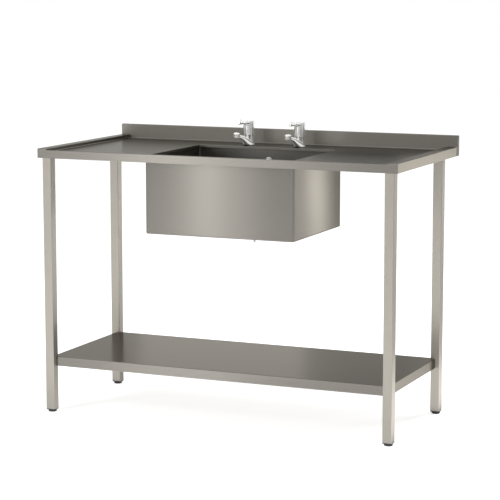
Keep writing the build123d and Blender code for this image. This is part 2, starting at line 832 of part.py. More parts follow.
with BuildPart() as overflow_elbow:
    with BuildSketch(behind_wall.offset(2)):
        Circle(elbow_flange)
    extrude(amount=3)
    with BuildSketch(behind_wall.offset(2)):
        Circle(elbow_radius)
    extrude(amount=28)
    fillet(overflow_elbow.faces().sort_by(Axis.Y)[-1].edges(), 5)
    with BuildSketch(Plane.XY.offset(overflow_height)):
        with Locations((0, pipe_y)):
            Circle(pipe_bore)
    extrude(amount=-32)
    with BuildSketch(behind_wall.offset(2)):
        Circle(elbow_radius - 3)
    extrude(amount=24, mode=Mode.SUBTRACT)
    with BuildSketch(Plane.XY.offset(overflow_height)):
        with Locations((0, pipe_y)):
            Circle(spigot_bore)
    extrude(amount=-40, mode=Mode.SUBTRACT)
    # the bridge that the rose's screw holds
    with BuildSketch(behind_wall.offset(4)):
        Rectangle(2 * elbow_radius - 5, 5)
        Circle(4.5)
        Circle(overflow_screw_radius, mode=Mode.SUBTRACT)
    extrude(amount=8)

save(overflow_elbow.part, "overflow_elbow")

with BuildPart() as overflow_pipe:
    with BuildLine() as route:
        FilletPolyline(
            (0, pipe_y, pipe_top),
            (0, pipe_y, pipe_height),
            (0, waste_y + 34, pipe_height),
            radius=pipe_bend,
        )
    with BuildSketch(Plane((0, pipe_y, pipe_top), z_dir=(0, 0, -1))):
        Circle(pipe_radius)
        Circle(pipe_bore, mode=Mode.SUBTRACT)
    sweep(path=route.wire())

save(overflow_pipe.part, "overflow_pipe")
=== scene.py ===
import bmesh
import bpy
import json
import math
from mathutils import Matrix, Vector


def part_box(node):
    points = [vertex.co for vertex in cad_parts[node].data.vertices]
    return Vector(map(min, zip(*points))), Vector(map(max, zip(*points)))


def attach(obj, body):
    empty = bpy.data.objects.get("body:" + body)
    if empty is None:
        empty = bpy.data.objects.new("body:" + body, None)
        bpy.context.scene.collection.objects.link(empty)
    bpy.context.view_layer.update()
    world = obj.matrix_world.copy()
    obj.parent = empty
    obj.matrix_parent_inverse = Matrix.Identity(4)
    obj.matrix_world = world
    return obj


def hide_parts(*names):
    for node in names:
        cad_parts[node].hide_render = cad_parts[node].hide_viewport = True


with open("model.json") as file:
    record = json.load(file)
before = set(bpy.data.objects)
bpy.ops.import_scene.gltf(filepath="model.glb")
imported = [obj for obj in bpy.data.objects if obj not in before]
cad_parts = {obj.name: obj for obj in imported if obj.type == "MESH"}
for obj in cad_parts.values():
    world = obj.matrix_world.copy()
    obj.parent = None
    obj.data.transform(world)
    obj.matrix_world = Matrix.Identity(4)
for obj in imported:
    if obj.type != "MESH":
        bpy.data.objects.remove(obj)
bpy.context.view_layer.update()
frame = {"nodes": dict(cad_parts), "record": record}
nodes = frame["nodes"]
print("frame loaded,", len(nodes), "nodes")

mm = 0.001

camera = {
    "place": (2.4135, -5.5775, 1.4141),
    "pitch": -0.146,
    "yaw": 0.4081,
    "lens": 138.25,
    "sensor": 36,
    "clipEnd": 100,
}


def makeCamera():
    data = bpy.data.cameras.new("camera")
    data.lens = camera["lens"]
    data.sensor_width = camera["sensor"]
    data.clip_end = camera["clipEnd"]
    view = bpy.data.objects.new("camera", data)
    view.location = camera["place"]
    view.rotation_euler = (math.pi / 2 + camera["pitch"], 0, camera["yaw"])
    bpy.context.scene.collection.objects.link(view)
    bpy.context.scene.camera = view


makeCamera()


# A small helper that adds nodes and links them by socket name.
class Shading:
    usual = (0.3, 0.7)  # where most of a noise's values lie

    def __init__(self, name):
        self.material = bpy.data.materials.new(name)
        self.material.use_nodes = True
        self.tree = self.material.node_tree
        self.tree.nodes.clear()
        self.output = self.node("ShaderNodeOutputMaterial")
        self.shader = self.node("ShaderNodeBsdfPrincipled")
        self.link(self.shader.outputs["BSDF"], self.output.inputs["Surface"])
        self.place = self.node("ShaderNodeTexCoord").outputs["Object"]
        self.relief = None

    def node(self, kind, **settings):
        made = self.tree.nodes.new(kind)
        for key, value in settings.items():
            setattr(made, key, value)
        return made

    def link(self, source, target):
        self.tree.links.new(source, target)

    def put(self, value, socket):
        if isinstance(value, bpy.types.NodeSocket):
            self.link(value, socket)
        else:
            socket.default_value = value

    def math(self, operation, first, second=0.0):
        made = self.node("ShaderNodeMath", operation=operation)
        self.put(first, made.inputs[0])
        self.put(second, made.inputs[1])
        return made.outputs[0]

    def vector(self, operation, first, second=(0, 0, 0)):
        made = self.node("ShaderNodeVectorMath", operation=operation)
        self.put(first, made.inputs[0])
        if operation == "SCALE":
            self.put(second, made.inputs["Scale"])
        else:
            self.put(second, made.inputs[1])
        return made.outputs["Vector"]

    def stretched(self, scale):
        return self.vector("MULTIPLY", self.place, scale)

    def noise(self, where, scale, detail=2.0, roughness=0.5):
        made = self.node("ShaderNodeTexNoise")
        self.link(where, made.inputs["Vector"])
        made.inputs["Scale"].default_value = scale
        made.inputs["Detail"].default_value = detail
        made.inputs["Roughness"].default_value = roughness
        return made.outputs["Fac"]

    def spread(self, value, low, high):
        made = self.node("ShaderNodeMapRange")
        self.link(value, made.inputs["Value"])
        made.inputs["From Min"].default_value, made.inputs["From Max"].default_value = self.usual
        made.inputs["To Min"].default_value = low
        made.inputs["To Max"].default_value = high
        return made.outputs["Result"]

    # 0 at start and 1 at end, with a soft step between them
    def ease(self, value, start, end):
        made = self.node("ShaderNodeMapRange", interpolation_type="SMOOTHSTEP")
        self.link(value, made.inputs["Value"])
        made.inputs["From Min"].default_value = start
        made.inputs["From Max"].default_value = end
        return made.outputs["Result"]

    def length(self, value):
        made = self.node("ShaderNodeVectorMath", operation="LENGTH")
        self.link(value, made.inputs[0])
        return made.outputs["Value"]

    def axes(self, value):
        made = self.node("ShaderNodeSeparateXYZ")
        self.link(value, made.inputs[0])
        return made.outputs

    def between(self, factor, low, high):
        return self.math("ADD", self.math("MULTIPLY", factor, high - low), low)

    def blend(self, factor, first, second):
        made = self.node("ShaderNodeMix", data_type="RGBA")
        self.put(factor, made.inputs[0])
        self.put((*first, 1) if isinstance(first, tuple) else first, made.inputs[6])
        self.put((*second, 1) if isinstance(second, tuple) else second, made.inputs[7])
        return made.outputs[2]

    # each bump lies over the one before it
    def bump(self, height, strength, distance):
        made = self.node("ShaderNodeBump")
        made.inputs["Strength"].default_value = strength
        made.inputs["Distance"].default_value = distance
        self.link(height, made.inputs["Height"])
        if self.relief:
            self.link(self.relief, made.inputs["Normal"])
        self.relief = made.outputs["Normal"]
        self.link(self.relief, self.shader.inputs["Normal"])


# Satin steel, its grain level on the sheets and upright on the legs. The sheets' colour is darker
# than the tubes' though both are the same steel: painted shade for the dark room the sheets reflect.
steel = {
    "sheetColourPaintedShade": (0.238, 0.226, 0.204),
    "tubeColour": (0.42, 0.397, 0.355),
    "plainColour": (0.25, 0.24, 0.225),
    "edgeTint": (0.45, 0.44, 0.42),
    "levelRoughness": 0.23,
    "wallRoughness": 0.27,
    "tubeRoughness": 0.4,
    "upstandRoughness": 0.5,
    # painted light: how much lighter the upstand's colour is painted than the rest of the sheet
    "upstandPaintedLight": 1.15,
    "upstandStart": 0.27,
    "anisotropy": 0.8,
    "grain": 0.025,
    "tubeStretch": (260, 260, 3),
    "sheetAcross": 260,
    "sheetAlong": 2.2,
    "fine": {"scale": 30.0, "share": 0.4},
    "broad": {"scale": 0.55, "share": 0.6},
    "octaves": {"detail": 3.0, "roughness": 0.6},
    "cloudScale": 3.0,
    "cloudShare": 0.25,
    "glossSpread": 0.015,
    "tubeRelief": 0.008,
    "sheetRelief": 0.02,
    "reliefDepth": 0.00004,
    "bowlMiddle": (0.0, -0.04, 0.0),
    "bowlBulge": 2.6,
}


def brushedSteel(name, colour, upright=False, bulge=0, upstand=False):
    look = Shading(name)
    shader = look.shader
    shader.inputs["Metallic"].default_value = 1.0
    shader.inputs["Specular Tint"].default_value = (*steel["edgeTint"], 1)
    shader.inputs["Anisotropic"].default_value = steel["anisotropy"]
    normal = look.node("ShaderNodeNewGeometry").outputs["True Normal"]
    place = look.axes(look.place)
    flat = look.math("ABSOLUTE", look.axes(normal)["Z"])
    # the gloss spreads across the grain, which is the way the tangent points
    if upright:
        grain = look.stretched(steel["tubeStretch"])
        tangent = look.vector("CROSS_PRODUCT", normal, (0, 0, 1))
    else:
        # across a level face the grain's lines lie side by side in y, and up a wall in z
        across, along = steel["sheetAcross"], steel["sheetAlong"]
        lines = look.node("ShaderNodeCombineXYZ")
        level = look.math("ADD", look.math("MULTIPLY", flat, across), along)
        look.link(look.math("MULTIPLY", place["X"], along), lines.inputs["X"])
        look.link(look.math("MULTIPLY", place["Y"], level), lines.inputs["Y"])
        look.link(look.math("MULTIPLY", place["Z"], across), lines.inputs["Z"])
        grain = lines.outputs[0]
        steep = look.math("SUBTRACT", 1.0, flat)
        upward = look.vector("SCALE", (0, 0, 1), steep)
        tangent = look.vector("ADD", upward, look.vector("SCALE", (0, 1, 0), flat))
    look.link(tangent, shader.inputs["Tangent"])
    fine = look.noise(grain, steel["fine"]["scale"], **steel["octaves"])
    broad = look.noise(grain, steel["broad"]["scale"], **steel["octaves"])
    cloudy = look.noise(look.place, steel["cloudScale"])
    fineTone = look.math("MULTIPLY", fine, steel["fine"]["share"])
    tone = look.math("ADD", fineTone, look.math("MULTIPLY", broad, steel["broad"]["share"]))
    tone = look.math("MULTIPLY", tone, 1 - steel["cloudShare"])
    tone = look.math("ADD", tone, look.math("MULTIPLY", cloudy, steel["cloudShare"]))
    dark = tuple(part * (1 - steel["grain"]) for part in colour)
    light = tuple(part * (1 + steel["grain"]) for part in colour)
    tint = look.blend(look.spread(tone, 0, 1), dark, light)
    wall = steel["tubeRoughness"] if upright else steel["wallRoughness"]
    gloss = look.between(flat, wall, steel["levelRoughness"])
    if upstand:
        behind = look.math("GREATER_THAN", place["Y"], steel["upstandStart"])
        rougher = look.math("MULTIPLY", behind, steel["upstandRoughness"] - wall)
        gloss = look.math("ADD", gloss, rougher)
        # painted light: behind upstandStart the colour is painted lighter, standing in for light the
        # upstand's reflections lack
        tint = look.vector("SCALE", tint, look.between(behind, 1.0, steel["upstandPaintedLight"]))
    look.link(tint, shader.inputs["Base Color"])
    uneven = look.spread(broad, 1 - steel["glossSpread"], 1 + steel["glossSpread"])
    look.link(look.math("MULTIPLY", uneven, gloss), shader.inputs["Roughness"])
    if bulge:
        # pressed walls belly out a little between their corners, as an arc of this radius
        outward = look.vector("SUBTRACT", look.place, steel["bowlMiddle"])
        level = look.vector("MULTIPLY", outward, (1, 1, 0))
        square = look.node("ShaderNodeVectorMath", operation="DOT_PRODUCT")
        look.link(level, square.inputs[0])
        look.link(level, square.inputs[1])
        look.bump(look.math("MULTIPLY", square.outputs["Value"], -0.5 / bulge), 1.0, 1.0)
    strength = steel["tubeRelief"] if upright else steel["sheetRelief"]
    look.bump(fine, strength, steel["reliefDepth"])
    return look.material


brass = (0.70, 0.52, 0.26)

# The taps' tails: brass, with a thread whose ridge is only in the surface.
tapTail = {
    "pitch": 0.0018,
    "top": 0.8375,
    "bore": 0.009,
    "depth": 0.0005,
    "turnsBelow": 100.0,  # keeps the count of turns above nought
    "colour": brass,
}


# A ridge that climbs round the tap's axis, and 1 where the threaded tail is.
def threadRelief(look, x, y):
    fromAxis = look.vector("SUBTRACT", look.place, (x, y, 0))
    parts = look.axes(fromAxis)
    turn = look.math("DIVIDE", look.math("ARCTAN2", parts["Y"], parts["X"]), 2 * math.pi)
    climb = look.math("DIVIDE", parts["Z"], tapTail["pitch"])
    count = look.math("ADD", look.math("SUBTRACT", climb, turn), tapTail["turnsBelow"])
    ridge = look.math("MULTIPLY", look.math("PINGPONG", count, 0.5), 2.0)
    out = look.length(look.vector("MULTIPLY", fromAxis, (1, 1, 0)))
    inside = look.math(
        "MULTIPLY", look.math("GREATER_THAN", out, tapTail["bore"]),
        look.math("LESS_THAN", parts["Z"], tapTail["top"]),
    )
    look.bump(look.math("MULTIPLY", ridge, inside), 1.0, tapTail["depth"])
    return inside


# Bare sheet under the top and shelf, with a row of spot welds along each flange.
# A flange is given as the way it runs, the way across it and its distance from the middle.
spotWelds = {
    "spacing": 0.06,
    "shift": 10.0,  # keeps the place along the row above nought
    "radius": 0.003,
    "flatShare": 0.6,
    "scorchShares": (1.9, 0.8),
    "scorchColour": (0.17, 0.15, 0.125),
    "depth": 0.0003,
    "flanges": {"top_stiffener": ("Y", "X", 0.027), "shelf_stiffener": ("X", "Y", 0.038)},
}
bareSheet = {
    "along": 4,
    "across": 120,
    "rolledScale": 4.0,
    "rolledDetail": 3.0,
    "cloudScale": 8.0,
    "dark": (0.235, 0.225, 0.21),
    "light": (0.265, 0.255, 0.24),
    "roughness": (0.32, 0.4),
    "relief": 0.1,
    "reliefDepth": 0.00005,
}


def plainSheet(name, node):
    low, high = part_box(node)
    middle = (Vector(low) + Vector(high)) / 2
    kind = "shelf_stiffener" if "shelf" in node else "top_stiffener"
    along, across, flange = spotWelds["flanges"][kind]
    look = Shading(name)
    shader = look.shader
    shader.inputs["Metallic"].default_value = 1.0
    parts = look.axes(look.vector("SUBTRACT", look.place, tuple(middle)))
    half = spotWelds["spacing"] / 2
    onward = look.math("PINGPONG", look.math("ADD", parts[along], spotWelds["shift"]), half)
    spot = look.node("ShaderNodeCombineXYZ")
    look.link(look.math("SUBTRACT", onward, half), spot.inputs["X"])
    aside = look.math("SUBTRACT", look.math("ABSOLUTE", parts[across]), flange)
    look.link(aside, spot.inputs["Y"])
    out = look.length(spot.outputs[0])
    radius = spotWelds["radius"]
    pressed = look.ease(out, radius, radius * spotWelds["flatShare"])
    scorched = look.ease(out, *(radius * share for share in spotWelds["scorchShares"]))
    stretch = [bareSheet["across"]] * 3
    stretch["XYZ".index(along)] = bareSheet["along"]
    grain = look.stretched(stretch)
    rolled = look.noise(grain, bareSheet["rolledScale"], bareSheet["rolledDetail"])
    cloudy = look.noise(look.place, bareSheet["cloudScale"])
    tone = look.blend(look.spread(rolled, 0, 1), bareSheet["dark"], bareSheet["light"])
    tint = look.blend(scorched, tone, spotWelds["scorchColour"])
    look.link(tint, shader.inputs["Base Color"])
    look.link(look.spread(cloudy, *bareSheet["roughness"]), shader.inputs["Roughness"])
    look.bump(look.math("MULTIPLY", pressed, -1.0), 1.0, spotWelds["depth"])
    look.bump(rolled, bareSheet["relief"], bareSheet["reliefDepth"])
    return look.material


# Small unevenness of plated and turned metal: its size, and how it spreads the roughness.
metalSpots = {"scale": 60.0, "detail": 3.0, "roughness": (0.8, 1.25)}


def polishedMetal(name, colour, roughness, mottle=0.06, metallic=1.0, tailAt=None):
    look = Shading(name)
    shader = look.shader
    shader.inputs["Metallic"].default_value = metallic
    spots = look.noise(look.place, metalSpots["scale"], metalSpots["detail"])
    dark = tuple(part * (1 - mottle) for part in colour)
    tint = look.blend(look.spread(spots, 0, 1), dark, colour)
    if tailAt:
        tint = look.blend(threadRelief(look, *tailAt), tint, tapTail["colour"])
    look.link(tint, shader.inputs["Base Color"])
    low, high = (roughness * share for share in metalSpots["roughness"])
    look.link(look.spread(spots, low, high), shader.inputs["Roughness"])
    return look.material


# Moulded plastic and rubber: broad patches in the tone and a fine grain in the surface.
mouldGrain = {
    "scale": 900.0,
    "relief": 0.2,
    "depth": 0.00005,
    "patchScale": 40.0,
    "patchShade": 0.82,
    "roughness": (0.9, 1.1),
}


def moulded(name, colour, roughness):
    look = Shading(name)
    shader = look.shader
    patches = look.noise(look.place, mouldGrain["patchScale"])
    dark = tuple(part * mouldGrain["patchShade"] for part in colour)
    look.link(look.blend(look.spread(patches, 0, 1), dark, colour), shader.inputs["Base Color"])
    low, high = (roughness * share for share in mouldGrain["roughness"])
    look.link(look.spread(patches, low, high), shader.inputs["Roughness"])
    spots = look.noise(look.place, mouldGrain["scale"])
    look.bump(spots, mouldGrain["relief"], mouldGrain["depth"])
    return look.material


chrome = {"colour": (0.84, 0.84, 0.82), "roughness": 0.14, "mottle": 0.03, "metallic": 0.8}

materials = {
    "satin_sheet": brushedSteel("satinSheet", steel["sheetColourPaintedShade"]),
    "satin_tube": brushedSteel("satinTube", steel["tubeColour"], upright=True),
    "plain_sheet": brushedSteel("plainSheet", steel["plainColour"]),
    "screw_steel": polishedMetal("screwSteel", (0.58, 0.57, 0.55), 0.3),
    "chrome_plate": polishedMetal("chromePlate", **chrome),
    "waste_steel": polishedMetal("wasteSteel", (0.66, 0.65, 0.62), 0.2),
    "brass": polishedMetal("turnedBrass", brass, 0.28, 0.15),
    "black_plastic": moulded("blackPlastic", (0.035, 0.035, 0.036), 0.5),
    "black_rubber": moulded("blackRubber", (0.022, 0.022, 0.022), 0.8),
    "white_plastic": moulded("whitePlastic", (0.72, 0.72, 0.70), 0.45),
}
ownLooks = {
    "bowl": brushedSteel("bowlSteel", steel["sheetColourPaintedShade"], bulge=steel["bowlBulge"]),
    "worktop": brushedSteel("topSteel", steel["sheetColourPaintedShade"], upstand=True),
    "shelf_stiffener": plainSheet("shelfStiffenerSteel", "shelf_stiffener"),
}
tapAxes = {"left": (-0.09, 0.203), "right": (0.09, 0.203)}
for side, axis in tapAxes.items():
    ownLooks[f"tap_body_{side}"] = polishedMetal(f"tapChrome_{side}", **chrome, tailAt=axis)
    for place in ("inner", "outer"):
        stiffener = f"top_stiffener_{place}_{side}"
        ownLooks[stiffener] = plainSheet(stiffener + "Steel", stiffener)
slotOfNode = {part["node"]: part["material_slot"] for part in frame["record"]["subparts"]}
for name, node in nodes.items():
    node.data.materials.clear()
    node.data.materials.append(ownLooks.get(name) or materials[slotOfNode[name]])
print("materials made")


# Spins a closed or open line of (radius, height) points round z and closes what meets on the axis.
def turned(profile, steps):
    shape = bmesh.new()
    line = [shape.verts.new((radius, 0, height)) for radius, height in profile]
    edges = [shape.edges.new(pair) for pair in zip(line, line[1:])]
    if profile[0][0] and profile[-1][0]:
        edges.append(shape.edges.new((line[-1], line[0])))
    bmesh.ops.spin(
        shape, geom=line + edges, cent=(0, 0, 0), axis=(0, 0, 1), dvec=(0, 0, 0),
        angle=2 * math.pi, steps=steps, use_merge=True, use_duplicate=False,
    )
    bmesh.ops.remove_doubles(shape, verts=shape.verts, dist=1e-6)
    bmesh.ops.recalc_face_normals(shape, faces=shape.faces)
    return shape


# Copies one bmesh into another and frees it.
def add(shape, extra):
    mesh = bpy.data.meshes.new("extra")
    extra.to_mesh(mesh)
    extra.free()
    shape.from_mesh(mesh)
    bpy.data.meshes.remove(mesh)


def finished(name, shape, slot, body, smoothAngle=35):
    mesh = bpy.data.meshes.new(name)
    bmesh.ops.recalc_face_normals(shape, faces=shape.faces)
    shape.to_mesh(mesh)
    shape.free()
    mesh.polygons.foreach_set("use_smooth", [True] * len(mesh.polygons))
    mesh.set_sharp_from_angle(angle=math.radians(smoothAngle))
    mesh.materials.append(materials[slot])
    made = bpy.data.objects.new(name, mesh)
    bpy.context.scene.collection.objects.link(made)
    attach(made, body)
    return made


# The insert in a tap's nozzle: a sleeve round a lattice of rings and ribs.
aerator = {
    "reach": 0.0985,
    "bottom": 0.8681,
    "sleeveRadius": 0.0076,
    "boreRadius": 0.0062,
    "height": 0.0078,
    "latticeHeight": 0.0016,
    "latticeSink": 0.0012,
    "rings": (0.0046, 0.0026),
    "ringWidth": 0.0005,
    "ringSteps": 48,
    "hubRadius": 0.0011,
    "hubNose": 0.7,  # this and ribStart are shares of hubRadius
    "hubDrop": 0.0002,
    "hubSteps": 32,
    "ribs": 8,
    "ribWidth": 0.00045,
    "ribHeight": 0.9,  # a share of the lattice's
    "ribStart": 0.8,
    "ribEdge": 0.0001,
    "ribSunk": 0.0003,
    "edge": 0.0003,
    "outerEdge": 0.0004,
    "steps": 72,
}


def makeAerator(side, x, y):
    build = aerator
    outer, bore, height = build["sleeveRadius"], build["boreRadius"], build["height"]
    edge = build["edge"]
    shape = turned([
        (outer, build["outerEdge"]), (outer - edge, 0.0), (bore + edge, 0.0), (bore, edge),
        (bore, height), (outer, height),
    ], build["steps"])
    low = build["latticeSink"]
    high = low + build["latticeHeight"]
    for radius in build["rings"]:
        inner, wide = radius - build["ringWidth"] / 2, radius + build["ringWidth"] / 2
        section = [(inner, low), (wide, low), (wide, high), (inner, high)]
        add(shape, turned(section, build["ringSteps"]))
    hub = build["hubRadius"]
    nose = low - build["hubDrop"]
    section = [(0, nose), (hub * build["hubNose"], nose), (hub, low), (hub, high), (0, high)]
    add(shape, turned(section, build["hubSteps"]))
    start = hub * build["ribStart"]
    length = bore + build["ribSunk"] - start
    size = (length, build["ribWidth"], (high - low) * build["ribHeight"])
    for count in range(build["ribs"]):
        rib = bmesh.new()
        bmesh.ops.create_cube(rib, size=1.0)
        bmesh.ops.scale(rib, verts=rib.verts, vec=size)
        bmesh.ops.bevel(
            rib, geom=rib.edges, offset=build["ribEdge"], offset_type="OFFSET", segments=1,
            profile=0.5, affect="EDGES", material=-1,
        )
        bmesh.ops.translate(rib, verts=rib.verts, vec=(start + length / 2, 0, (low + high) / 2))
        turn = Matrix.Rotation(2 * math.pi * count / build["ribs"], 3, "Z")
        bmesh.ops.rotate(rib, verts=rib.verts, matrix=turn)
        add(shape, rib)
    bmesh.ops.translate(shape, verts=shape.verts, vec=(x, y - build["reach"], build["bottom"]))
    finished(f"nozzleAerator_{side}", shape, "chrome_plate", "unit")


# A pressed dome with a turned rim, a ring of drain holes and a seat for its screw.
rose = {
    "profile": (
        (0.0125, 0.0), (0.0125, 0.0004), (0.0123, 0.0007), (0.0112, 0.0007), (0.0107, 0.0012),
        (0.0103, 0.0030), (0.0089, 0.0053), (0.0069, 0.0066), (0.0054, 0.0070),
        (0.0046, 0.0069), (0.0044, 0.0064), (0.0044, 0.0046), (0.0027, 0.0046), (0.0027, 0.0),
    ),
    "steps": 32,
    "smoothAngle": 50,
    "holeBand": (0.0069, 0.0089),
    "holeAbove": 0.004,
    "holeEvery": 4,
    "holeInset": 0.00018,
    "floorInset": 0.00005,
    "holeDepth": 0.0030,
}


def makeRose():
    build = rose
    shape = turned(build["profile"], build["steps"])
    inner, outer = build["holeBand"]
    step = 2 * math.pi / build["steps"]
    holes = []
    for face in shape.faces:
        middle = face.calc_center_median()
        radius = math.hypot(middle.x, middle.y)
        place = round((math.atan2(middle.y, middle.x) - step / 2) / step)
        inBand = inner < radius < outer and middle.z > build["holeAbove"]
        if inBand and place % build["holeEvery"] == 0:
            holes.append(face)
    bmesh.ops.inset_individual(
        shape, faces=holes, thickness=build["holeInset"], use_even_offset=True,
    )
    for face in holes:
        sunk = bmesh.ops.extrude_discrete_faces(shape, faces=[face])["faces"]
        bmesh.ops.inset_individual(shape, faces=sunk, thickness=build["floorInset"])
        corners = list({corner for part in sunk for corner in part.verts})
        bmesh.ops.translate(shape, verts=corners, vec=(0, 0, -build["holeDepth"]))
    low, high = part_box("overflow_rose")
    bmesh.ops.rotate(shape, verts=shape.verts, matrix=Matrix.Rotation(math.pi / 2, 3, "X"))
    middle = (Vector(low) + Vector(high)) / 2
    bmesh.ops.translate(shape, verts=shape.verts, vec=(middle.x, high[1], middle.z))
    made = finished("roseDome", shape, "chrome_plate", "unit", build["smoothAngle"])
    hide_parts("overflow_rose")


# Screw threads. The solid's own plain thread is cut off at cutAt, and the new one reaches
# past the cut by overlap.
threads = {
    "wasteTail": {
        "crest": 0.0239, "root": 0.0232, "bore": 0.0205, "pitch": 0.0023, "steps": 72,
        "cutAt": 0.5632, "overlap": 0.0002,
    },
    "footStud": {
        "crest": 0.004, "root": 0.0034, "bore": 0.0, "pitch": 0.00125, "steps": 32,
        "cutAt": 0.0075, "overlap": 0.001,
    },
    "lead": 0.0005,
    "footSunk": 0.0001,
    "flanks": (0.05, 0.45, 0.55, 0.95),
}


# A bored core from low to high, with a ridge wound round it.
def threadedRod(thread, low, high):
    bore, root, crest, pitch = (thread[key] for key in ("bore", "root", "crest", "pitch"))
    steps, lead = thread["steps"], threads["lead"]
    core = [(bore, low), (root - lead, low), (root, low + lead), (root, high), (bore, high)]
    shape = turned(core, steps)
    ridge = bmesh.new()
    foot = root - threads["footSunk"]
    section = zip((foot, crest, crest, foot), threads["flanks"])
    ring = [ridge.verts.new((radius, 0, low + lead + share * pitch)) for radius, share in section]
    edges = [ridge.edges.new((ring[count - 1], ring[count])) for count in range(len(ring))]
    turns = (high - low - lead) / pitch - 1
    bmesh.ops.spin(
        ridge, geom=ring + edges, cent=(0, 0, 0), axis=(0, 0, 1), dvec=(0, 0, pitch / steps),
        angle=2 * math.pi * turns, steps=round(steps * turns), use_merge=False, use_duplicate=False,
    )
    ends = [edge for edge in ridge.edges if edge.is_boundary]
    bmesh.ops.holes_fill(ridge, edges=ends, sides=0)
    bmesh.ops.recalc_face_normals(ridge, faces=ridge.faces)
    add(shape, ridge)
    return shape


# A merged copy of a CAD node, cut off below or above a height.
def cutCopy(node, height, keepAbove=True):
    shape = bmesh.new()
    shape.from_mesh(nodes[node].data)
    bmesh.ops.remove_doubles(shape, verts=shape.verts, dist=1e-6)
    cut = bmesh.ops.bisect_plane(
        shape, geom=shape.verts[:] + shape.edges[:] + shape.faces[:], plane_co=(0, 0, height),
        plane_no=(0, 0, 1), clear_inner=keepAbove, clear_outer=not keepAbove,
    )
    edges = [item for item in cut["geom_cut"] if isinstance(item, bmesh.types.BMEdge)]
    bmesh.ops.triangle_fill(shape, use_beauty=True, edges=edges)
    return shape


# Adds a rod that stands on the z axis, in the middle of the box from low to high.
def addRod(shape, rod, low, high):
    middle = ((low[0] + high[0]) / 2, (low[1] + high[1]) / 2, 0)
    bmesh.ops.translate(rod, verts=rod.verts, vec=middle)
    add(shape, rod)


def makeWaste():
    thread = threads["wasteTail"]
    low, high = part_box("waste")
    shape = cutCopy("waste", thread["cutAt"])
    rod = threadedRod(thread, low[2], thread["cutAt"] + thread["overlap"])
    addRod(shape, rod, low, high)
    made = finished("wasteOutlet", shape, "waste_steel", "unit")
    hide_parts("waste")


def makeFoot(corner):
    node = f"levelling_foot_{corner}"
    thread = threads["footStud"]
    low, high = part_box(node)
    shape = cutCopy(node, thread["cutAt"], keepAbove=False)
    rod = threadedRod(thread, thread["cutAt"] - thread["overlap"], high[2])
    addRod(shape, rod, low, high)
    made = finished(f"levellingFoot_{corner}", shape, "black_plastic", f"foot_{corner}")
    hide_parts(node)


for side, axis in tapAxes.items():
    makeAerator(side, *axis)
    for row in ("front", "rear"):
        makeFoot(f"{row}_{side}")
makeWaste()
makeRose()
print("aerators, threads and rose made")

# A white room. The floor glows to hide its edge: floorGlow is for the camera and
# floorMirrored for what bright metal shows.
studio = {
    "floorSize": 30.0,
    "floorColour": (0.80, 0.80, 0.79),
    "floorGlow": 0.62,
    "floorMirrored": 0.18,
    "worldLevel": 0.55,
}


def emission(tree, colour, strength):
    made = tree.nodes.new("ShaderNodeEmission")
    made.inputs["Color"].default_value = (*colour, 1)
    made.inputs["Strength"].default_value = strength
    return made.outputs[0]


# 1 on camera, glossy and transmission rays, which show the white background.
def showsBackground(tree):
    rays = tree.nodes.new("ShaderNodeLightPath")
    both = None
    for kind in ("Is Camera Ray", "Is Glossy Ray", "Is Transmission Ray"):
        if both is None:
            both = rays.outputs[kind]
            continue
        larger = tree.nodes.new("ShaderNodeMath")
        larger.operation = "MAXIMUM"
        tree.links.new(both, larger.inputs[0])
        tree.links.new(rays.outputs[kind], larger.inputs[1])
        both = larger.outputs[0]
    return both


def makeWorld():
    world = bpy.data.worlds.new("studio")
    bpy.context.scene.world = world
    world.use_nodes = True
    tree = world.node_tree
    tree.nodes.clear()
    output = tree.nodes.new("ShaderNodeOutputWorld")
    choice = tree.nodes.new("ShaderNodeMixShader")
    soft = tree.nodes.new("ShaderNodeBackground")
    soft.inputs["Color"].default_value = (1, 1, 1, 1)
    soft.inputs["Strength"].default_value = studio["worldLevel"]
    white = tree.nodes.new("ShaderNodeBackground")
    white.inputs["Color"].default_value = (1, 1, 1, 1)
    tree.links.new(showsBackground(tree), choice.inputs[0])
    tree.links.new(soft.outputs[0], choice.inputs[1])
    tree.links.new(white.outputs[0], choice.inputs[2])
    tree.links.new(choice.outputs[0], output.inputs["Surface"])


def makeFloor():
    mesh = bpy.data.meshes.new("floor")
    sheet = bmesh.new()
    bmesh.ops.create_grid(sheet, x_segments=1, y_segments=1, size=studio["floorSize"] / 2)
    sheet.to_mesh(mesh)
    sheet.free()
    floor = bpy.data.objects.new("floor", mesh)
    bpy.context.scene.collection.objects.link(floor)
    material = bpy.data.materials.new("paleFloor")
    material.use_nodes = True
    tree = material.node_tree
    tree.nodes.clear()
    output = tree.nodes.new("ShaderNodeOutputMaterial")
    paint = tree.nodes.new("ShaderNodeBsdfDiffuse")
    paint.inputs["Color"].default_value = (*studio["floorColour"], 1)
    glow = tree.nodes.new("ShaderNodeMixShader")
    tree.links.new(tree.nodes.new("ShaderNodeLightPath").outputs["Is Camera Ray"], glow.inputs[0])
    tree.links.new(emission(tree, (1, 1, 1), studio["floorMirrored"]), glow.inputs[1])
    tree.links.new(emission(tree, (1, 1, 1), studio["floorGlow"]), glow.inputs[2])
    lit = tree.nodes.new("ShaderNodeAddShader")
    choice = tree.nodes.new("ShaderNodeMixShader")
    tree.links.new(paint.outputs[0], lit.inputs[0])
    tree.links.new(glow.outputs[0], lit.inputs[1])
    tree.links.new(showsBackground(tree), choice.inputs[0])
    tree.links.new(paint.outputs[0], choice.inputs[1])
    tree.links.new(lit.outputs[0], choice.inputs[2])
    tree.links.new(choice.outputs[0], output.inputs["Surface"])
    mesh.materials.append(material)


